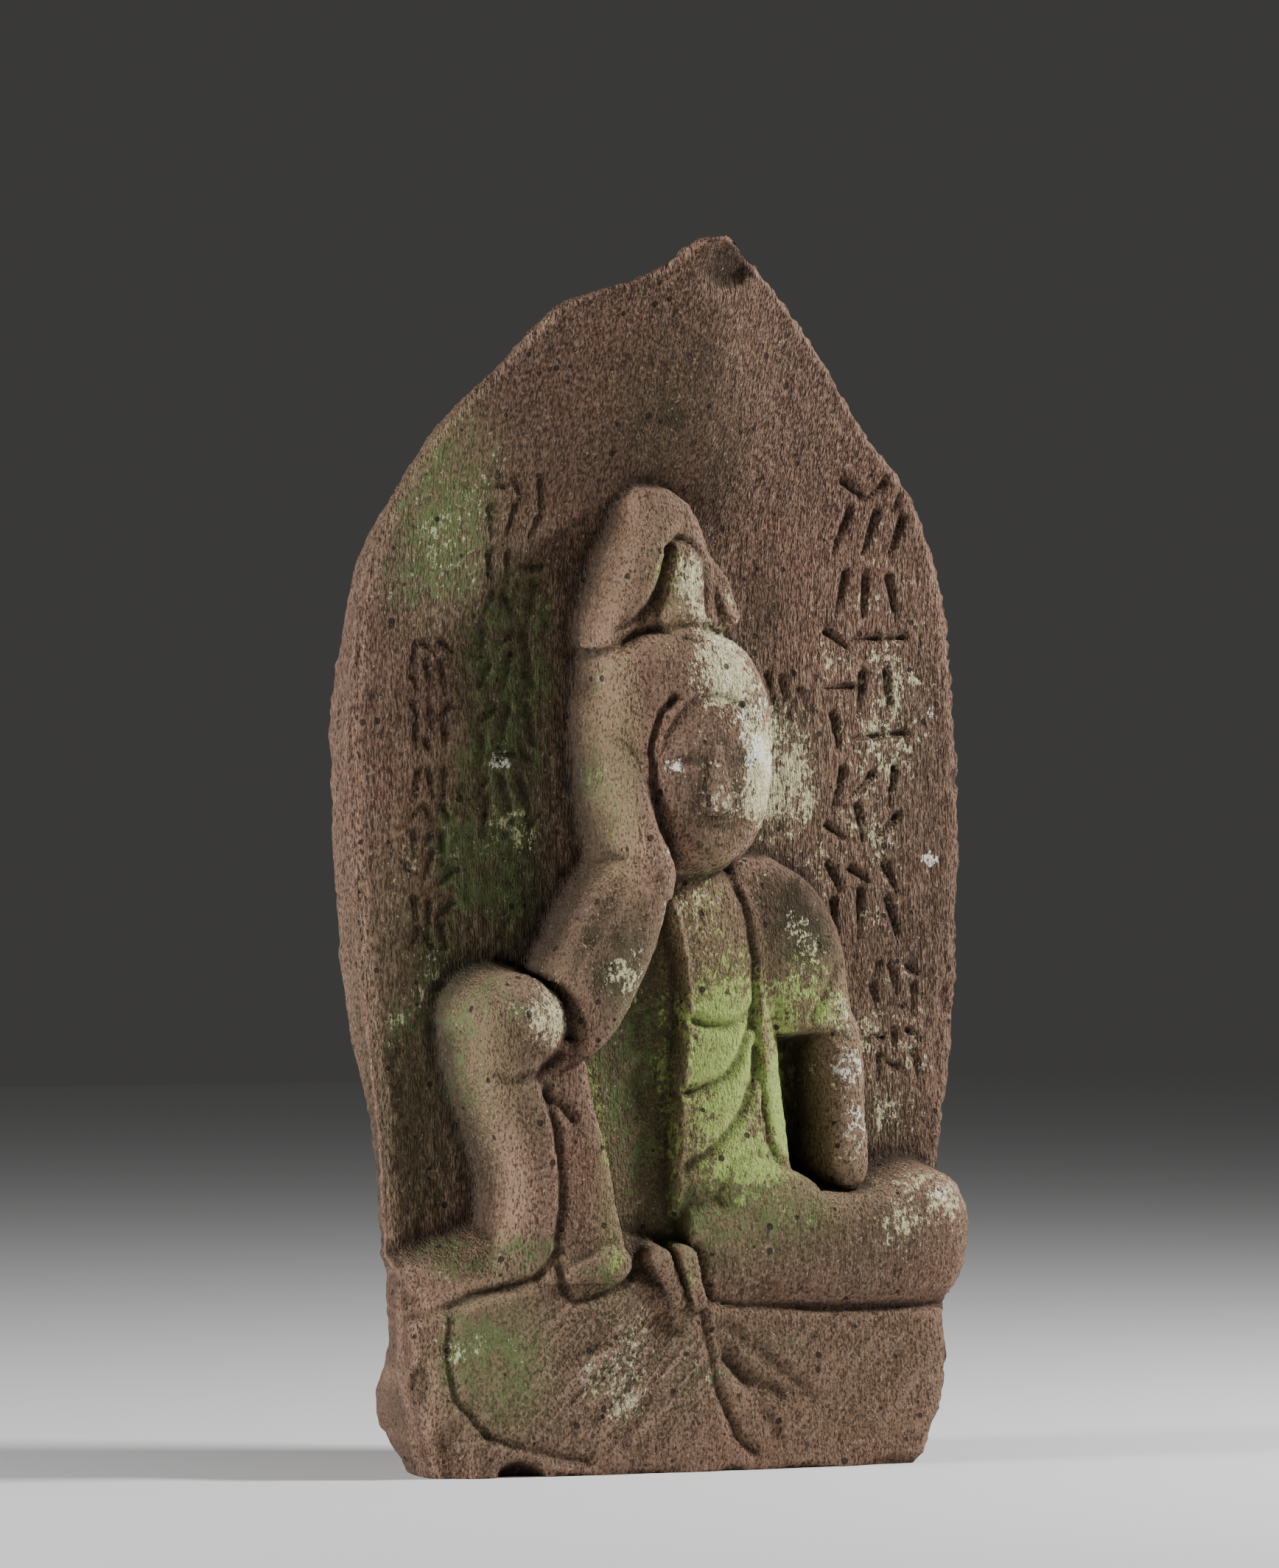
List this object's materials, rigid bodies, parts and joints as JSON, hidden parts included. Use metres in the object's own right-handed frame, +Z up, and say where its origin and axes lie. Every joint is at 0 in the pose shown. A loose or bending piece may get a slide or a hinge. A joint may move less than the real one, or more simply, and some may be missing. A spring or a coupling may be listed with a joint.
{
  "type": "kannon stele",
  "caption": "Boat-shaped stone stele with a seated, thoughtful kannon in relief, one knee raised and a hand to the cheek.",
  "frame": {"origin": "on the floor under the middle of the stele's bounding box", "axes": "+Z up along the height, -Y toward the carved front, +X to the viewer's right"},
  "size_m": [0.3862, 0.203, 0.6916],
  "materials": {
    "stone": "rough, weathered reddish-brown volcanic stone with green algae and pale lichen"
  },
  "bodies": {
    "root": {"stele": "stone"}
  },
  "joints": []
}
